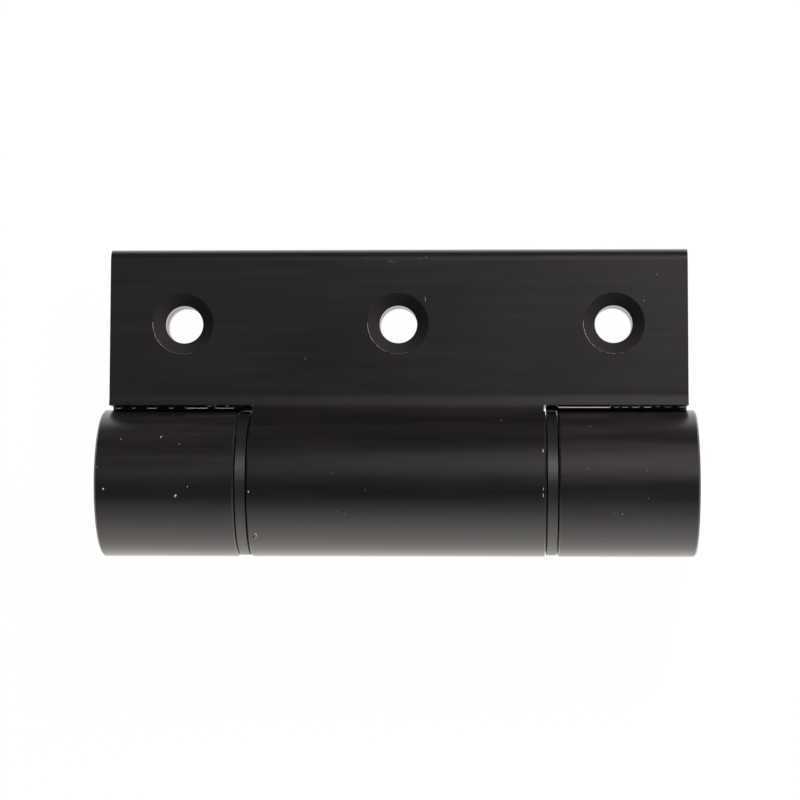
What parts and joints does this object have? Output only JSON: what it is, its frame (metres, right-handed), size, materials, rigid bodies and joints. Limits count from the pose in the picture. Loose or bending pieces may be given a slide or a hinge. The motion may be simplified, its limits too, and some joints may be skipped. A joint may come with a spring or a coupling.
{
  "type": "spring hinge",
  "caption": "Self-closing hinge of black anodised extruded aluminium: two countersunk leaves on a thick round barrel with plastic rings between its knuckles and a coil spring inside.",
  "frame": {"origin": "centre of the frame leaf's middle screw hole, on the leaf's mounting face", "axes": "+X along the barrel, +Y from the barrel towards the leaves' free edges, +Z out of the frame leaf's mounting face, towards the door leaf that is folded on it"},
  "size_m": [0.121, 0.0628, 0.03],
  "materials": {
    "black_anodised_aluminium": "satin anodised extrusion",
    "black_acetal": "turned",
    "black_polyamide": "moulded",
    "ground_steel": "ground",
    "spring_steel": "oiled wire"
  },
  "bodies": {
    "frame": {"frame_leaf": "black_anodised_aluminium", "left_thrust_ring": "black_acetal", "right_thrust_ring": "black_acetal", "left_end_cap": "black_acetal", "right_end_cap": "black_acetal", "left_bearing_sleeve": "black_polyamide", "right_bearing_sleeve": "black_polyamide", "pivot_pin": "ground_steel", "left_circlip": "spring_steel", "right_circlip": "spring_steel", "torsion_spring": "spring_steel"},
    "door": {"door_leaf": "black_anodised_aluminium", "spring_carrier": "ground_steel"}
  },
  "joints": [
    {"name": "leaf_hinge", "type": "hinge", "parent": "frame", "child": "door", "pos_m": [0, -0.0324, 0.0003], "axis": [1, 0, 0], "range_deg": [0, 180], "stiffness_Nm_per_rad": 0.36, "springref_deg": -34.38, "deforming": ["torsion_spring"]}
  ]
}
